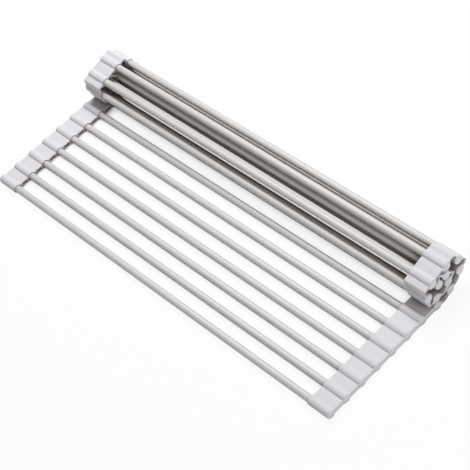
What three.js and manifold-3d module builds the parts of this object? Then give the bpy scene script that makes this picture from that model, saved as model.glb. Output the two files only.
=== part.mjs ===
import * as THREE from 'three';
import { mergeVertices } from 'three/addons/utils/BufferGeometryUtils.js';
import Module from 'manifold-3d';

// Roll up dish drying rack: steel tubes held side by side by two silicone strips,
// lying flat at the near side and rolled up at the far side.
// Millimetres. +X runs along the tubes, +Y from the flat end towards the roll, +Z up from the table.
// Each strip bends at the thin webs between its tubes, so it is made as one segment per tube.

const wasm = await Module();
wasm.setup();

// The tubes
const rodPitch = 20;
const rodRadius = 3.8;
const rodWall = 0.6;
const clearSpan = 436;

// The silicone strips
const stripWidth = 26;
const sleeveWall = 0.75;
const webThickness = 1.9;
const hingeDrop = 1.2;
const endWall = 2.5;
const endRound = 1.6;
const webInset = 0.5;
const flatWebRise = 2.7;
const footDepth = 0.15;

// Clearances: between a tube and its sleeve, between two neighbouring webs, and between the
// turns of the roll
const fitGap = 0.3;
const webGap = 0.4;
const rollGap = 0.25;
const cutOverrun = 2;

const sleeveRadius = rodRadius + fitGap + sleeveWall;

// How the rack lies: tubes in the flat part, then the bend at each web of the roll, in degrees,
// and the share by which the whole roll loosens at a time while its turns are too close
const flatCount = 8;
const foldDegrees = [27, 17, 81, 66, 4, 74, 88, 42, 106, 103];
const looseningShare = 0.01;

// The webs of the flat part can bend up this far, in degrees
const flatBendDegrees = 30;

// How deep a web's root reaches into its sleeve, as a share of the sleeve radius
const rootShare = 0.97;

// The blend from a sleeve into its web: where it leaves the sleeve, in degrees from the
// top or bottom of the sleeve, and where it ends, as a share of the pitch
const upperBlendDegrees = 55;
const lowerBlendDegrees = 35;
const blendEndShare = 0.41;

// Steps in the curves
const roundSteps = 8;
const sleeveSides = 16;
const edgeSteps = 2;
const noseSteps = 2;

const radians = THREE.MathUtils.degToRad;

// Turns an outline's x, y and depth into the rack's y, z and x
const alongTubes = new THREE.Matrix4().makeBasis(
  new THREE.Vector3(0, 1, 0),
  new THREE.Vector3(0, 0, 1),
  new THREE.Vector3(1, 0, 0)
);

function solidOf(geometry) {
  const bare = geometry.clone();
  bare.deleteAttribute('normal');
  bare.deleteAttribute('uv');
  const merged = mergeVertices(bare);
  return new wasm.Manifold(new wasm.Mesh({
    numProp: 3,
    vertProperties: merged.attributes.position.array,
    triVerts: new Uint32Array(merged.index.array)
  }));
}

function geometryOf(solid) {
  const mesh = solid.getMesh();
  const geometry = new THREE.BufferGeometry();
  geometry.setAttribute('position', new THREE.BufferAttribute(mesh.vertProperties, 3));
  geometry.setIndex(new THREE.BufferAttribute(mesh.triVerts, 1));
  geometry.computeVertexNormals();
  return geometry;
}

function extrudeAlongTubes(shape, from, to, curveSegments) {
  const geometry = new THREE.ExtrudeGeometry(shape, {
    depth: to - from,
    bevelEnabled: false,
    curveSegments
  });
  geometry.translate(0, 0, from);
  return geometry.applyMatrix4(alongTubes);
}

function mirrored(geometry) {
  const copy = geometry.clone();
  copy.scale(-1, 1, 1);
  const corners = copy.index.array;
  for (let corner = 0; corner < corners.length; corner += 3) {
    const first = corners[corner];
    corners[corner] = corners[corner + 1];
    corners[corner + 1] = first;
  }
  copy.computeVertexNormals();
  return copy;
}

// A steel tube, open at both ends
function rodGeometry() {
  const ring = new THREE.Shape();
  ring.absarc(0, 0, rodRadius, 0, 2 * Math.PI);
  const bore = new THREE.Path();
  bore.absarc(0, 0, rodRadius - rodWall, 0, 2 * Math.PI);
  ring.holes.push(bore);
  const halfLength = clearSpan / 2 + stripWidth - endWall - fitGap;
  return extrudeAlongTubes(ring, -halfLength, halfLength, roundSteps);
}

// The round sleeve on a tube's end, closed and rounded at its outer end
function sleeveSolid(inner, outer) {
  const profile = [new THREE.Vector2(0, inner), new THREE.Vector2(sleeveRadius, inner)];
  for (let step = 0; step <= edgeSteps; step += 1) {
    const angle = (Math.PI / 2) * (step / edgeSteps);
    const radius = sleeveRadius - endRound + endRound * Math.cos(angle);
    const along = outer - endRound + endRound * Math.sin(angle);
    profile.push(new THREE.Vector2(radius, along));
  }
  profile.push(new THREE.Vector2(0, outer));
  const geometry = new THREE.LatheGeometry(profile, sleeveSides, Math.PI / sleeveSides);
  geometry.rotateZ(-Math.PI / 2);
  return solidOf(geometry);
}

// Where the round end of a web is centred. It stops short of the bend line, so that two webs
// clear each other when folded.
function noseAcross(bendDegrees) {
  const halfBend = radians(bendDegrees) / 2;
  return rodPitch / 2 - (webThickness + webGap) / (2 * Math.cos(halfBend));
}

// Half a web, from the sleeve to the bend line. side is 1 towards the roll, where the blend is
// on the upper face, and -1 towards the flat end, where it is on the lower face.
function webShape(side, bendDegrees) {
  const blendAngle = radians(side > 0 ? upperBlendDegrees : lowerBlendDegrees);
  const blendFace = -hingeDrop + side * webThickness / 2;
  const plainFace = -hingeDrop - side * webThickness / 2;
  const noseRadius = webThickness / 2;
  const nose = noseAcross(bendDegrees);
  const startAcross = sleeveRadius * Math.sin(blendAngle);
  const startUp = side * sleeveRadius * Math.cos(blendAngle);
  const bendAcross = startAcross + Math.abs(startUp - blendFace) / Math.tan(blendAngle);
  const endAcross = Math.min(blendEndShare * rodPitch, nose);
  const shape = new THREE.Shape();
  shape.moveTo(0, plainFace);
  shape.lineTo(0, rootShare * startUp);
  shape.lineTo(side * rootShare * startAcross, rootShare * startUp);
  shape.quadraticCurveTo(side * bendAcross, blendFace, side * endAcross, blendFace);
  shape.lineTo(side * nose, blendFace);
  shape.absarc(side * nose, -hingeDrop, noseRadius, side * Math.PI / 2, -side * Math.PI / 2, true);
  shape.closePath();
  return shape;
}

// The raised top of half a web in the flat part. It leans back from the bend line, so that two
// webs clear each other when bent up.
function webTopShape(side, bendDegrees) {
  const halfBend = radians(bendDegrees) / 2;
  const nose = noseAcross(bendDegrees);
  const noseRadius = webThickness / 2;
  const leanAcross = (flatWebRise + hingeDrop) * Math.tan(halfBend);
  const topAcross = rodPitch / 2 - leanAcross - webGap / (2 * Math.cos(halfBend));
  const footAcross = nose + noseRadius * Math.cos(halfBend);
  const shape = new THREE.Shape();
  shape.moveTo(0, -hingeDrop);
  shape.lineTo(side * nose, -hingeDrop);
  shape.lineTo(side * footAcross, -hingeDrop + noseRadius * Math.sin(halfBend));
  shape.lineTo(side * topAcross, flatWebRise);
  shape.lineTo(0, flatWebRise);
  shape.closePath();
  return shape;
}

function webSolid(side, bendDegrees, inner, outer) {
  const edge = outer - webInset;
  const web = solidOf(extrudeAlongTubes(webShape(side, bendDegrees), inner, edge, noseSteps));
  if (bendDegrees !== flatBendDegrees) return web;
  const top = extrudeAlongTubes(webTopShape(side, bendDegrees), inner, edge, noseSteps);
  return web.add(solidOf(top));
}

// The small flat under a sleeve that the rack stands on
function footCutSolid(inner, outer) {
  const width = 2 * sleeveRadius;
  const depth = footDepth + cutOverrun;
  const length = outer - inner + 2 * cutOverrun;
  const geometry = new THREE.BoxGeometry(length, width, depth);
  geometry.translate((inner + outer) / 2, 0, -sleeveRadius + footDepth - depth / 2);
  return solidOf(geometry);
}

function boreSolid(inner, outer) {
  const disc = new THREE.Shape();
  disc.absarc(0, 0, rodRadius + fitGap, 0, 2 * Math.PI);
  return solidOf(extrudeAlongTubes(disc, inner - cutOverrun, outer - endWall, roundSteps));
}

// One segment of the strip at +X. A bend is null at the strip's two ends, where no web goes on.
function segmentGeometry(nearBend, farBend) {
  const inner = clearSpan / 2;
  const outer = inner + stripWidth;
  let segment = sleeveSolid(inner, outer);
  if (nearBend !== null) segment = segment.add(webSolid(-1, nearBend, inner, outer));
  if (farBend !== null) segment = segment.add(webSolid(1, farBend, inner, outer));
  segment = segment.subtract(boreSolid(inner, outer));
  segment = segment.subtract(footCutSolid(inner, outer));
  return geometryOf(segment);
}

const steelMaterial = () => new THREE.MeshStandardMaterial({
  color: 0xbfbdba,
  roughness: 0.42,
  metalness: 0.35
});

const siliconeMaterial = () => new THREE.MeshStandardMaterial({
  color: 0xcdcdd2,
  roughness: 0.7,
  metalness: 0
});

// The bend at each web, from the flat end to the middle of the roll
function websBent(rollShare) {
  const flatBends = new Array(flatCount - 1).fill(0);
  return [...flatBends, ...foldDegrees.map((bend) => bend * rollShare)];
}

// Each tube's middle and turn, worked out web by web along the strip
function linkPlaces(bends) {
  const places = [{ y: 0, z: sleeveRadius - footDepth, turn: 0 }];
  for (const bend of bends) {
    const last = places[places.length - 1];
    const reach = new THREE.Vector2(rodPitch / 2, -hingeDrop);
    reach.rotateAround(new THREE.Vector2(), last.turn);
    const turn = last.turn + radians(bend);
    const back = new THREE.Vector2(-rodPitch / 2, -hingeDrop);
    back.rotateAround(new THREE.Vector2(), turn);
    places.push({ y: last.y + reach.x - back.x, z: last.z + reach.y - back.y, turn });
  }
  return places;
}

// A point of a tube's own section, as a point across the rack
function sectionPoint(place, across, up) {
  const point = new THREE.Vector2(across, up).rotateAround(new THREE.Vector2(), place.turn);
  return new THREE.Vector3(place.y + point.x, place.z + point.y, 0);
}

// The middle lines of the webs beside a tube, each from its sleeve to its nose
function webLines(places, bends, index) {
  const lines = [];
  [[-1, bends[index - 1]], [1, bends[index]]].forEach(([side, bend]) => {
    if (bend === undefined) return;
    const root = sectionPoint(places[index], side * sleeveRadius, -hingeDrop);
    const nose = sectionPoint(places[index], side * noseAcross(bend), -hingeDrop);
    lines.push(new THREE.Line3(root, nose));
  });
  return lines;
}

// The least room between two sleeves, or between a sleeve and a web that isn't next to it
function leastRoom(bends) {
  const places = linkPlaces(bends);
  const middles = places.map((place) => sectionPoint(place, 0, 0));
  const closest = new THREE.Vector3();
  let least = Infinity;
  middles.forEach((middle, index) => {
    middles.forEach((other, otherIndex) => {
      if (otherIndex > index) least = Math.min(least, middle.distanceTo(other) - 2 * sleeveRadius);
      if (Math.abs(index - otherIndex) < 2) return;
      for (const line of webLines(places, bends, otherIndex)) {
        line.closestPointToPoint(middle, true, closest);
        least = Math.min(least, middle.distanceTo(closest) - sleeveRadius - webThickness / 2);
      }
    });
  });
  return least;
}

// The share of the chosen bends at which the roll's turns clear each other
function fittingShare() {
  let share = 1;
  while (share > 0 && leastRoom(websBent(share)) < rollGap) share -= looseningShare;
  return share;
}

const restBends = websBent(fittingShare());

// The most that each web bends, which sets its clearance
const mostBends = restBends.map((bend, index) => (index < flatCount - 1 ? flatBendDegrees : bend));

const rod = rodGeometry();

function addLink(rack, place, index) {
  const number = String(index + 1).padStart(2, '0');
  const nearBend = index > 0 ? mostBends[index - 1] : null;
  const farBend = index < mostBends.length ? mostBends[index] : null;
  const segment = segmentGeometry(nearBend, farBend);
  const pieces = [
    new THREE.Mesh(rod, steelMaterial()),
    new THREE.Mesh(mirrored(segment), siliconeMaterial()),
    new THREE.Mesh(segment, siliconeMaterial())
  ];
  pieces[0].name = `rod_${number}`;
  pieces[1].name = `strip_left_${number}`;
  pieces[2].name = `strip_right_${number}`;
  const link = new THREE.Group();
  link.position.set(0, place.y, place.z);
  link.rotation.x = place.turn;
  link.add(...pieces);
  rack.add(link);
}

const rack = new THREE.Group();
linkPlaces(restBends).forEach((place, index) => addLink(rack, place, index));

// The origin is on the table, under the middle of the whole rack
rack.updateMatrixWorld(true);
const bounds = new THREE.Box3().setFromObject(rack, true);
rack.position.y = -(bounds.min.y + bounds.max.y) / 2;

const group = new THREE.Group();
group.add(rack);
group.updateMatrixWorld(true);

export default group;
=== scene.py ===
import math

import bmesh
import bpy
import numpy as np
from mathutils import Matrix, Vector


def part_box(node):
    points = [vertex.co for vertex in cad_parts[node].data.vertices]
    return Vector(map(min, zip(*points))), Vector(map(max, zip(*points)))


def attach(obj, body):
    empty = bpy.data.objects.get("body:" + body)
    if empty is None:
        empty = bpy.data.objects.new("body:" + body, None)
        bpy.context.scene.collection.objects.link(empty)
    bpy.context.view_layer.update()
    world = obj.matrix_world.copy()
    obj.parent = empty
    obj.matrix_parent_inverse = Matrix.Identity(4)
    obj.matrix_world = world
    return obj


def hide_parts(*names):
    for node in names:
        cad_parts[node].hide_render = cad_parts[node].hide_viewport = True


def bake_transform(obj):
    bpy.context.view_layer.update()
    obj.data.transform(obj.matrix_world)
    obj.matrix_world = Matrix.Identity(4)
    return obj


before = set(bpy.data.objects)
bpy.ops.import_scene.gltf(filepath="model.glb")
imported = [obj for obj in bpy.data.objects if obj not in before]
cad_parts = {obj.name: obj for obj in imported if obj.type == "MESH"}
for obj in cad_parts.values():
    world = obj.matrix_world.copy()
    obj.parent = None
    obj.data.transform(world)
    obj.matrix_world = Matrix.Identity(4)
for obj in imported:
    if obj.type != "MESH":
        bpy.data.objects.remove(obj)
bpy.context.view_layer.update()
mm = 0.001

# How the rack lies: tubes 20 mm apart, hinged in the middle of each web, and rolled up from the ninth tube on
rackSettings = {
    "pitch": 20 * mm,
    "hingeDrop": 1.2 * mm,
    "innerEnd": 218 * mm,
    "stripWidth": 26 * mm,
    "firstInnerWeb": 13,
    "folds": [0] * 7 + [27, 17, 81, 66, 4, 74, 88, 42, 106, 103],
}


# Selecting and shaping in edit mode

def beginPiece(name):
    piece = bpy.context.object
    piece.name = piece.data.name = name
    bpy.ops.object.transform_apply(location=True, rotation=True, scale=True)
    bpy.ops.object.mode_set(mode="EDIT")
    return piece


def selectWhere(kind, test):
    bpy.ops.mesh.select_mode(type=kind)
    bpy.ops.mesh.select_all(action="DESELECT")
    mesh = bmesh.from_edit_mesh(bpy.context.object.data)
    for part in {"FACE": mesh.faces, "EDGE": mesh.edges, "VERT": mesh.verts}[kind]:
        if test(part):
            part.select_set(True)
    mesh.select_flush_mode()
    bmesh.update_edit_mesh(bpy.context.object.data)


def edgeRadius(edge):
    return sum(math.hypot(v.co.y, v.co.z) for v in edge.verts) / 2


def endPiece(angle):
    bpy.ops.mesh.select_all(action="SELECT")
    bpy.ops.mesh.normals_make_consistent(inside=False)
    bpy.ops.object.mode_set(mode="OBJECT")
    bpy.ops.object.shade_smooth_by_angle(angle=math.radians(angle))


def copyOf(pattern, name):
    piece = pattern.copy()
    piece.data = pattern.data.copy()
    piece.name = piece.data.name = name
    bpy.context.scene.collection.objects.link(piece)
    return piece


def settle(piece, turn, y, z, mirrored=False):
    # puts a copy in its place, and keeps the place in the mesh
    bpy.ops.object.select_all(action="DESELECT")
    piece.select_set(True)
    bpy.context.view_layer.objects.active = piece
    piece.scale.x = -1 if mirrored else 1
    piece.rotation_euler.x = turn
    piece.location = (0, y, z)
    bpy.ops.object.transform_apply(location=True, rotation=True, scale=True)
    if mirrored:
        bpy.ops.object.mode_set(mode="EDIT")
        bpy.ops.mesh.select_all(action="SELECT")
        bpy.ops.mesh.normals_make_consistent(inside=False)
        bpy.ops.object.mode_set(mode="OBJECT")


# Shader maths: a number socket with the usual operators

class Number:
    def __init__(self, recipe, socket):
        self.recipe = recipe
        self.socket = socket

    def join(self, operation, other, swapped=False):
        values = [other, self] if swapped else [self, other]
        return self.recipe.node("ShaderNodeMath", {"operation": operation}, dict(enumerate(values))).number(0)

    def __add__(self, other):
        return self.join("ADD", other)

    def __radd__(self, other):
        return self.join("ADD", other, True)

    def __sub__(self, other):
        return self.join("SUBTRACT", other)

    def __rsub__(self, other):
        return self.join("SUBTRACT", other, True)

    def __mul__(self, other):
        return self.join("MULTIPLY", other)

    def __rmul__(self, other):
        return self.join("MULTIPLY", other, True)

    def __truediv__(self, other):
        return self.join("DIVIDE", other)

    def ramp(self, start, stop, first=0.0, last=1.0):
        # a soft rise or fall from first to last while the number goes from start to stop
        return self.recipe.node("ShaderNodeMapRange", {"interpolation_type": "SMOOTHSTEP"},
                                {0: self, 1: start, 2: stop, 3: first, 4: last}).number(0)


class Placed:
    def __init__(self, recipe, node):
        self.recipe = recipe
        self.node = node

    def number(self, output):
        return Number(self.recipe, self.node.outputs[output])

    def out(self, output):
        return self.node.outputs[output]


class Recipe:
    def __init__(self, name):
        self.material = bpy.data.materials.new(name)
        self.material.use_nodes = True
        self.tree = self.material.node_tree
        self.tree.nodes.clear()

    def node(self, kind, settings=None, inputs=None):
        made = self.tree.nodes.new(kind)
        for key, value in (settings or {}).items():
            setattr(made, key, value)
        for key, value in (inputs or {}).items():
            value = value.socket if isinstance(value, Number) else value
            if isinstance(value, bpy.types.NodeSocket):
                self.tree.links.new(value, made.inputs[key])
            else:
                made.inputs[key].default_value = value
        return Placed(self, made)

    def mixColours(self, share, first, second):
        mixed = self.node("ShaderNodeMix", {"data_type": "RGBA"})
        colours = [s for s in mixed.node.inputs if s.type == "RGBA"]
        factor = mixed.node.inputs[0]
        self.tree.links.new(share.socket, factor)
        for socket, colour in zip(colours, (first, second)):
            if isinstance(colour, bpy.types.NodeSocket):
                self.tree.links.new(colour, socket)
            else:
                socket.default_value = colour
        return next(s for s in mixed.node.outputs if s.type == "RGBA")

    def paintShadeInGaps(self, colour, deepSettings):
        # painted shade: between close pieces, where ambient occlusion finds little open room, the colour is
        # mixed towards a darker brown, standing in for the shade and the light bounced off many faces there
        share = self.openness(deepSettings["reach"]).ramp(deepSettings["from"], deepSettings["to"])
        return self.mixColours(share, deepSettings["colour"], colour)

    def openness(self, reach):
        return self.node("ShaderNodeAmbientOcclusion", {"samples": 12}, {"Distance": reach}).number("AO")

    def noise(self, stretch, scale, detail):
        # noise on the rack's own coordinates
        place = self.node("ShaderNodeTexCoord").out("Object")
        mapped = self.node("ShaderNodeMapping", {}, {"Vector": place, "Scale": stretch}).out("Vector")
        made = self.node("ShaderNodeTexNoise", {}, {"Vector": mapped, "Scale": scale, "Detail": detail})
        return made.number(0)

    def bumped(self, height, strength, distance):
        made = self.node("ShaderNodeBump", {}, {"Strength": strength, "Distance": distance, "Height": height})
        return made.out("Normal")

    def finish(self, shader):
        self.node("ShaderNodeOutputMaterial", {}, {"Surface": shader})
        return self.material


# Finishes. Noise scales are per metre, and a stretch below 1 draws the noise out along that axis.

evenly = (1, 1, 1)

siliconeSettings = {
    "light": (0.802, 0.787, 0.820, 1),
    "dark": (0.747, 0.731, 0.762, 1),
    "mottle": 420,
    "clouds": 28,
    "grain": 5200,
    "bump": 0.12 * mm,
    "roughness": 0.60,
    # painted shade: the base colour turns a darker brown where ambient occlusion finds pieces close by
    "deep": {"reach": 0.030, "from": 0.05, "to": 0.75, "colour": (0.27, 0.215, 0.20, 1)},
}


def makeSilicone():
    s = siliconeSettings
    recipe = Recipe("silicone")
    mottle = recipe.noise(evenly, s["mottle"], 3)
    clouds = recipe.noise(evenly, s["clouds"], 2)
    grain = recipe.noise(evenly, s["grain"], 2)
    share = mottle * 0.55 + clouds * 0.45
    colour = recipe.mixColours(share, s["dark"], s["light"])
    height = grain * 0.7 + mottle * 0.3
    shader = recipe.node("ShaderNodeBsdfPrincipled", {}, {
        # the base colour carries painted shade between close pieces
        "Base Color": recipe.paintShadeInGaps(colour, s["deep"]),
        "Roughness": s["roughness"] + mottle * 0.12,
        "IOR": 1.41,
        "Specular IOR Level": 0.45,
        "Sheen Weight": 0.06,
        "Sheen Roughness": 0.5,
        "Normal": recipe.bumped(height, 0.18, s["bump"]),
    }).out("BSDF")
    return recipe.finish(shader)


coatingSettings = {
    "light": (0.715, 0.702, 0.692, 1),
    "dark": (0.650, 0.637, 0.626, 1),
    "speckle": 1500,
    "streaks": 900,
    "alongTubes": (0.012, 1, 1),
    "clouds": 40,
    "cloudStretch": (0.4, 1, 1),
    "bump": 0.06 * mm,
    "roughness": 0.46,
    # painted shade: the base colour turns a darker brown where ambient occlusion finds pieces close by
    "deep": {"reach": 0.045, "from": 0.05, "to": 0.52, "colour": (0.27, 0.205, 0.185, 1)},
}


def makeCoating():
    s = coatingSettings
    recipe = Recipe("coatedSteel")
    speckle = recipe.noise(evenly, s["speckle"], 3)
    streaks = recipe.noise(s["alongTubes"], s["streaks"], 2)
    clouds = recipe.noise(s["cloudStretch"], s["clouds"], 2)
    share = speckle * 0.3 + streaks * 0.35 + clouds * 0.35
    colour = recipe.mixColours(share, s["dark"], s["light"])
    height = speckle * 0.6 + streaks * 0.4
    shader = recipe.node("ShaderNodeBsdfPrincipled", {}, {
        # the base colour carries painted shade between close pieces
        "Base Color": recipe.paintShadeInGaps(colour, s["deep"]),
        "Metallic": 0.05,
        "Roughness": s["roughness"] + streaks * 0.1,
        "IOR": 1.5,
        "Normal": recipe.bumped(height, 0.06, s["bump"]),
    }).out("BSDF")
    return recipe.finish(shader)


silicone = makeSilicone()
coatedSteel = makeCoating()
print("materials made")


# The rack's tubes

tubeSettings = {
    "radius": 3.8 * mm,
    "wall": 0.6 * mm,
    "halfLength": 241.2 * mm,
    "sides": 64,
    "deburr": 0.12 * mm,
}


def makeTube():
    s = tubeSettings
    bpy.ops.object.select_all(action="DESELECT")
    bpy.ops.mesh.primitive_cylinder_add(vertices=s["sides"], radius=s["radius"], depth=2 * s["halfLength"],
                                        rotation=(0, math.pi / 2, 0))
    tube = beginPiece("tube")
    selectWhere("FACE", lambda f: abs(f.normal.x) > 0.9)
    bpy.ops.mesh.inset(thickness=s["wall"])
    bpy.ops.mesh.bridge_edge_loops()  # the two inner discs become the bore
    selectWhere("EDGE", lambda e: all(abs(v.co.x) > s["halfLength"] - 0.01 * mm for v in e.verts)
                and edgeRadius(e) > s["radius"] - 0.05 * mm)
    bpy.ops.mesh.bevel(offset=s["deburr"], segments=2)
    endPiece(35)
    tube.data.materials.append(coatedSteel)
    return tube


# The round sleeve at a tube's end, with its blind bore and its small flat foot

sleeveSettings = {
    "radius": 4.85 * mm,
    "sides": 56,
    "endRound": 1.6 * mm,
    "boreRadius": 4.1 * mm,
    "boreDepth": 23.5 * mm,
    "rimRound": 0.22 * mm,
    "foot": 4.7 * mm,
}


def makeSleeve():
    s = sleeveSettings
    inner, width = rackSettings["innerEnd"], rackSettings["stripWidth"]
    bpy.ops.object.select_all(action="DESELECT")
    bpy.ops.mesh.primitive_cylinder_add(vertices=s["sides"], radius=s["radius"], depth=width,
                                        location=(inner + width / 2, 0, 0), rotation=(0, math.pi / 2, 0))
    sleeve = beginPiece("sleeve")
    selectWhere("FACE", lambda f: f.normal.x > 0.9)
    bpy.ops.mesh.bevel(offset=s["endRound"], segments=6)
    selectWhere("FACE", lambda f: f.normal.x < -0.9)
    bpy.ops.mesh.inset(thickness=s["radius"] - s["boreRadius"])
    bpy.ops.mesh.extrude_region_move(TRANSFORM_OT_translate={"value": (s["boreDepth"], 0, 0)})
    selectWhere("EDGE", lambda e: all(abs(v.co.x - inner) < 0.01 * mm for v in e.verts)
                and abs(e.verts[0].co.yz.length - e.verts[1].co.yz.length) < 0.05 * mm)
    bpy.ops.mesh.bevel(offset=s["rimRound"], segments=2)
    selectWhere("VERT", lambda v: v.co.z < -s["foot"])  # pressed flat, the underside becomes the foot
    bpy.ops.transform.resize(value=(1, 1, 0), center_override=(inner, 0, -s["foot"]))
    endPiece(40)
    sleeve.data.materials.append(silicone)
    return sleeve


# The web between two sleeves, laid flat. On top it leaves the first sleeve in a smooth blend and
# meets the next one in a step, and below it is the other way round. Rows are in mm across the rack.
# In the flat part it is nearly as thick as the sleeves, and in the roll it is thin, near its outside.
# A face past thickLevel meets a sleeve in a short blend, and one past highLevel leaves it higher up.

webSettings = {
    "columns": 5,
    "thickLevel": 2.5,
    "highLevel": 2,
    "rowStep": 0.3,
    "firstRows": (3.3, 3.45, 3.6, 3.8, 3.973),
    "firstThinRow": 3.6,
    "sunkBy": 0.05,
    "creaseRow": (4.12, 2.45),
    "openStart": 4.3,
    "lastRow": 16.9,
    "topEnd": {"thick": 15.9, "thin": 15.7},
    "belowBlend": 8,
    "belowEnd": 3.4,
    "wallInner": 4.2,
    "wallMiddle": 4.35,
    "wallOuter": 4.8,
    "grooveStart": 15.0,
    "grooveSlope": 1.1,
    "thickBlend": 1.84,
    "thinBlend": 4.2,
    "width": 25.5 * mm,
    "edgeRound": 0.25 * mm,
    "bevelRows": (4.29, 15.75),
    "slotRows": (5.2, 15.2),
    "slotDepth": 5 * mm,
}

# the height of a web's upper and lower face over the tube's axis
webFaces = {"flat": (2.7, -2.7), "outer": (-0.35, -2.7), "inner": (-0.25, -2.15)}

# a web of two skins is open between them at one end: which end it is, and the skins' thickness
webSkins = {"flat": (-1, 1.8 * mm), "outer": (1, 0.75 * mm)}


def sleeveHeight(across, radius=sleeveSettings["radius"] / mm):
    return math.sqrt(radius ** 2 - across ** 2)


def thick(level):
    return abs(level) > webSettings["thickLevel"]


def blendedFace(level, off, reach):
    # from the sleeve's surface, at off mm from its axis, down to the web's own level
    start = webSettings["firstRows"][0 if level > webSettings["highLevel"] else -1]
    rise = sleeveHeight(start) - level
    return level + rise * max(0, (start + reach - off) / reach) ** 2


def webRows(kind):
    s = webSettings
    top, below = webFaces[kind]
    reach = s["thickBlend"] if thick(top) else s["thinBlend"]
    belowReach = s["thickBlend"] if thick(below) else s["thinBlend"]
    topEnd = s["topEnd"]["thick" if thick(top) else "thin"]
    rows = []
    for y in s["firstRows"]:  # inside the first sleeve's wall
        if thick(top) or y >= s["firstThinRow"]:
            upper = blendedFace(top, y, reach)
            if y < s["firstRows"][-1]:
                upper = min(upper, sleeveHeight(y) - s["sunkBy"])
            rows.append((y, upper, sleeveHeight(y, s["wallInner"])))
    y, depth = s["creaseRow"]
    rows.append((y, blendedFace(top, y, reach), -min(depth, -below)))
    y = s["openStart"]
    while y < s["lastRow"]:
        off = rackSettings["pitch"] / mm - y
        upper = blendedFace(top, y, reach)
        if thick(top):  # a fine groove before the next sleeve
            upper -= s["grooveSlope"] * max(0, y - s["grooveStart"])
        lower = -blendedFace(-below, off, belowReach) if off < s["belowBlend"] else below
        if y > topEnd:  # inside the next sleeve's wall
            upper = -sleeveHeight(off, s["wallMiddle"])
        if off < s["belowEnd"]:
            lower = -sleeveHeight(off, s["wallOuter"])
        rows.append((y, upper, lower))
        y += s["rowStep"]
    return rows


def acrossEnd(edge):
    # an edge between an end face and the web's upper or lower face
    slants = [abs(f.normal.x) for f in edge.link_faces]
    long = abs(edge.verts[0].co.y - edge.verts[1].co.y) > 0.02 * mm
    return long and len(slants) == 2 and min(slants) < 0.3 and max(slants) > 0.5


def makeWeb(kind):
    s = webSettings
    rows = webRows(kind)
    inner, width = rackSettings["innerEnd"], s["width"]
    (y0, top0, low0), (y1, _, _) = rows[:2]
    bpy.ops.object.select_all(action="DESELECT")
    bpy.ops.mesh.primitive_cube_add(size=1, scale=(width, (y1 - y0) * mm, (top0 - low0) * mm),
                                    location=(inner + width / 2, (y0 + y1) / 2 * mm, (top0 + low0) / 2 * mm))
    web = beginPiece(f"{kind}Web")
    selectWhere("EDGE", lambda e: abs(e.verts[0].co.x - e.verts[1].co.x) > mm)
    bpy.ops.mesh.subdivide(number_cuts=s["columns"] - 1)
    selectWhere("FACE", lambda f: f.normal.y > 0.9)
    # the end face is drawn out row by row, and takes each row's height and thickness
    for before, row in zip([(y1, top0, low0)] + rows[1:-1], rows[1:]):
        y, top, low = row
        if row is not rows[1]:
            bpy.ops.mesh.extrude_region_move(TRANSFORM_OT_translate={"value": (0, (y - before[0]) * mm, 0)})
        bpy.ops.transform.translate(value=(0, 0, (top + low - before[1] - before[2]) / 2 * mm))
        bpy.ops.transform.resize(value=(1, 1, (top - low) / (before[1] - before[2])),
                                 center_override=(inner, y * mm, (top + low) / 2 * mm))
    # the long edges of both end faces are rounded, except inside the sleeves' walls
    first, last = s["bevelRows"]
    selectWhere("EDGE", lambda e: all(first * mm < v.co.y < last * mm for v in e.verts) and acrossEnd(e))
    bpy.ops.mesh.bevel(offset=s["edgeRound"], segments=3, clamp_overlap=False)
    if kind in webSkins:
        side, skin = webSkins[kind]
        first, last = s["slotRows"]
        selectWhere("FACE", lambda f: f.normal.x * side > 0.9
                    and first * mm < f.calc_center_median().y < last * mm)
        bpy.ops.mesh.dissolve_faces()
        bpy.ops.mesh.inset(thickness=skin - s["edgeRound"])
        bpy.ops.mesh.extrude_region_move(TRANSFORM_OT_translate={"value": (-side * s["slotDepth"], 0, 0)})
    endPiece(35)
    web.data.materials.append(silicone)
    return web


# How far the bend reaches on either side of the hinge, in mm. A sharp fold stops short of the sleeves:
# the near sleeve's corner is given by its distance and angle from the hinge, the far one's by its place.

bendSettings = {
    "reach": 4.5,
    "nearCorner": (7.22, 146.6),
    "farCorner": (5.15, 1.5),
}


def bendZone(fold):
    # where the web's bend starts and stops, along the line that halves the fold, from the hinge
    half = math.radians(fold) / 2
    reach = bendSettings["reach"] * math.cos(half)
    distance, angle = bendSettings["nearCorner"]
    across, above = bendSettings["farCorner"]
    start = min(reach, distance * abs(math.cos(math.radians(angle) - half)))
    stop = min(reach, across * math.cos(half) - above * math.sin(half))
    return start * mm, stop * mm


def turned(across, up, angle):
    return across * np.cos(angle) - up * np.sin(angle), across * np.sin(angle) + up * np.cos(angle)


def bendWeb(web, fold):
    start, stop = bendZone(fold)
    angle = math.radians(fold)
    points = np.array([v.co for v in web.data.vertices], float)
    across = points[:, 1] - rackSettings["pitch"] / 2
    up = points[:, 2] + rackSettings["hingeDrop"]
    low, high = np.zeros(len(points)), np.ones(len(points))
    for _ in range(40):  # halves the range of each share until it is exact
        share = (low + high) / 2
        y, z = turned(across, up, share * angle)
        along = y * math.cos(angle / 2) + z * math.sin(angle / 2)
        t = np.clip((along + start) / (start + stop), 0, 1)
        more = t * t * (3 - 2 * t) > share
        low, high = np.where(more, share, low), np.where(more, high, share)
    y, z = turned(across, up, (low + high) / 2 * angle)
    points[:, 1] = y + rackSettings["pitch"] / 2
    points[:, 2] = z - rackSettings["hingeDrop"]
    web.data.vertices.foreach_set("co", points.astype(np.float32).ravel())
    web.data.update()


# Places of the tubes, web by web from the near end

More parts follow.
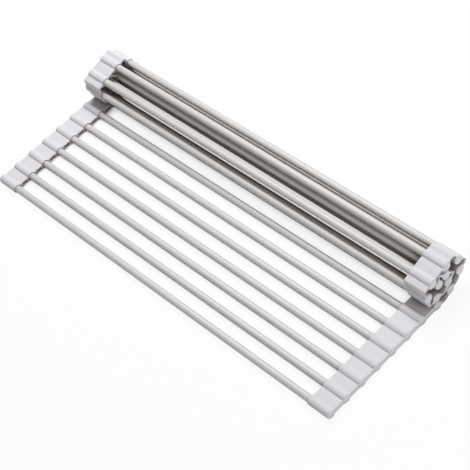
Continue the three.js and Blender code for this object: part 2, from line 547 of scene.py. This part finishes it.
def tubePlaces():
    low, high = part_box("rod_01")
    places = [((low.y + high.y) / 2, (low.z + high.z) / 2, 0.0)]
    for fold in rackSettings["folds"]:
        y, z, turn = places[-1]
        farY, farZ = turned(rackSettings["pitch"] / 2, -rackSettings["hingeDrop"], turn)
        turn += math.radians(fold)
        nearY, nearZ = turned(-rackSettings["pitch"] / 2, -rackSettings["hingeDrop"], turn)
        places.append((y + farY - nearY, z + farZ - nearZ, turn))
    return places


places = tubePlaces()
tubePattern = makeTube()
sleevePattern = makeSleeve()
webPatterns = {kind: makeWeb(kind) for kind in webFaces}
print("patterns made")

for index, (y, z, turn) in enumerate(places):
    number = f"{index + 1:02d}"
    tube = copyOf(tubePattern, f"tube_{number}")
    settle(tube, turn, y, z)
    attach(tube, f"link_{number}")
    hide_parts(f"rod_{number}")
    for side in ("left", "right"):
        sleeve = copyOf(sleevePattern, f"sleeve_{side}_{number}")
        settle(sleeve, turn, y, z, mirrored=side == "left")
        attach(sleeve, f"link_{number}")
        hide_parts(f"strip_{side}_{number}")
print("tubes and sleeves placed")

for index, fold in enumerate(rackSettings["folds"]):
    y, z, turn = places[index]
    half = turn + math.radians(fold) / 2
    start, stop = bendZone(fold)
    hingeY, hingeZ = turned(rackSettings["pitch"] / 2, -rackSettings["hingeDrop"], turn)
    hingeY, hingeZ = y + hingeY, z + hingeZ
    for side in ("left", "right"):
        kind = "flat" if fold == 0 else "outer" if index < rackSettings["firstInnerWeb"] else "inner"
        web = copyOf(webPatterns[kind], f"web_{side}_{index + 1:02d}")
        bendWeb(web, fold)
        settle(web, turn, y, z, mirrored=side == "left")
        f"link_{index + 1:02d}"
        f"link_{index + 2:02d}"
        hingeY - start * math.cos(half)
        hingeZ - start * math.sin(half)
        hingeY + stop * math.cos(half)
        hingeZ + stop * math.sin(half)
        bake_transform(web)
print("webs bent and placed")

for pattern in (tubePattern, sleevePattern, *webPatterns.values()):
    bpy.data.objects.remove(pattern)


# Floor, light and camera

studioSettings = {
    "floorSize": 8.0,
    "floorWhite": 0.92,
    "floorGrain": 30,
    "nearReach": 12 * mm,
    "wideReach": 80 * mm,
    "besideTall": (0.40, 0.85),
    "contact": (0.20, 0.74),
    "underneath": (0.0, 0.14),
    "ambient": 0.13,
    "keyPower": 20.0,
    "keySize": (0.9, 0.6),
    "keyPlace": (-0.45, 0.62, 1.36),
    "fillPower": 8.0,
    "fillSize": (1.2, 0.8),
    "fillPlace": (1.45, -0.15, 0.75),
}


def makeFloor():
    s = studioSettings
    bpy.ops.object.select_all(action="DESELECT")
    bpy.ops.mesh.primitive_plane_add(size=s["floorSize"], location=(0, 0, -0.00005))
    floor = bpy.context.object
    floor.name = "floor"
    recipe = Recipe("studioFloor")
    # white where nothing stands near, and lit like the rest close to the rack, so that its shadow stays
    path = recipe.node("ShaderNodeLightPath")
    seen = path.number("Is Camera Ray").join("MAXIMUM", path.number("Is Glossy Ray"))
    wide = recipe.openness(s["wideReach"])
    near = recipe.openness(s["nearReach"])
    # beside a tall piece the wide view is shut off far more than the near one
    besideTall = (wide / near).ramp(*s["besideTall"], 1.0, 0.0)
    shade = near.ramp(*s["contact"], 1.0, 0.0) * besideTall
    clear = (1 - shade) * wide.ramp(*s["underneath"])
    grain = recipe.noise(evenly, s["floorGrain"], 3)
    base = recipe.mixColours(grain, (0.9, 0.9, 0.9, 1), (0.93, 0.93, 0.93, 1))
    cloth = recipe.node("ShaderNodeBsdfDiffuse", {}, {"Color": base}).out("BSDF")
    white = recipe.node("ShaderNodeEmission", {}, {"Color": (1, 1, 1, 1), "Strength": 1.0}).out("Emission")
    mixed = recipe.node("ShaderNodeMixShader", {}, {0: seen * clear * s["floorWhite"], 1: cloth, 2: white})
    floor.data.materials.append(recipe.finish(mixed.out("Shader")))


def makeWorld():
    world = bpy.data.worlds.new("studioWorld")
    bpy.context.scene.world = world
    world.use_nodes = True
    tree = world.node_tree
    tree.nodes.clear()
    path = tree.nodes.new("ShaderNodeLightPath")
    shown = path.outputs["Is Camera Ray"]
    for ray in ("Is Transmission Ray", "Is Glossy Ray"):
        either = tree.nodes.new("ShaderNodeMath")
        either.operation = "MAXIMUM"
        tree.links.new(shown, either.inputs[0])
        tree.links.new(path.outputs[ray], either.inputs[1])
        shown = either.outputs[0]
    mix = tree.nodes.new("ShaderNodeMixShader")
    tree.links.new(shown, mix.inputs[0])
    # dim light on the rack, and plain white where the world itself is seen
    for place, strength in ((1, studioSettings["ambient"]), (2, 1.0)):
        background = tree.nodes.new("ShaderNodeBackground")
        background.inputs["Color"].default_value = (1, 1, 1, 1)
        background.inputs["Strength"].default_value = strength
        tree.links.new(background.outputs[0], mix.inputs[place])
    out = tree.nodes.new("ShaderNodeOutputWorld")
    tree.links.new(mix.outputs[0], out.inputs["Surface"])


def makeLamp(name, place, size, power):
    lamp = bpy.data.lights.new(name, "AREA")
    lamp.shape = "RECTANGLE"
    lamp.size, lamp.size_y = size
    lamp.energy = power
    holder = bpy.data.objects.new(name, lamp)
    bpy.context.scene.collection.objects.link(holder)
    holder.location = place
    holder.rotation_euler = (-holder.location).to_track_quat("-Z", "Y").to_euler()


cameraSettings = {
    "place": (0.9553, -0.4513, 1.1599),
    "turn": (39.396, 15.407, 46.132),
    "lens": 123.44,
}


def makeCamera():
    data = bpy.data.cameras.new("camera")
    data.sensor_width = 36
    data.lens = cameraSettings["lens"]
    data.clip_start, data.clip_end = 0.05, 50
    camera = bpy.data.objects.new("camera", data)
    bpy.context.scene.collection.objects.link(camera)
    camera.location = cameraSettings["place"]
    camera.rotation_euler = [math.radians(a) for a in cameraSettings["turn"]]
    bpy.context.scene.camera = camera


makeFloor()
makeWorld()
for lampName in ("key", "fill"):
    makeLamp(f"{lampName}Lamp", *(studioSettings[lampName + part] for part in ("Place", "Size", "Power")))
makeCamera()
bpy.context.scene.view_settings.view_transform = "Standard"
print("studio made")
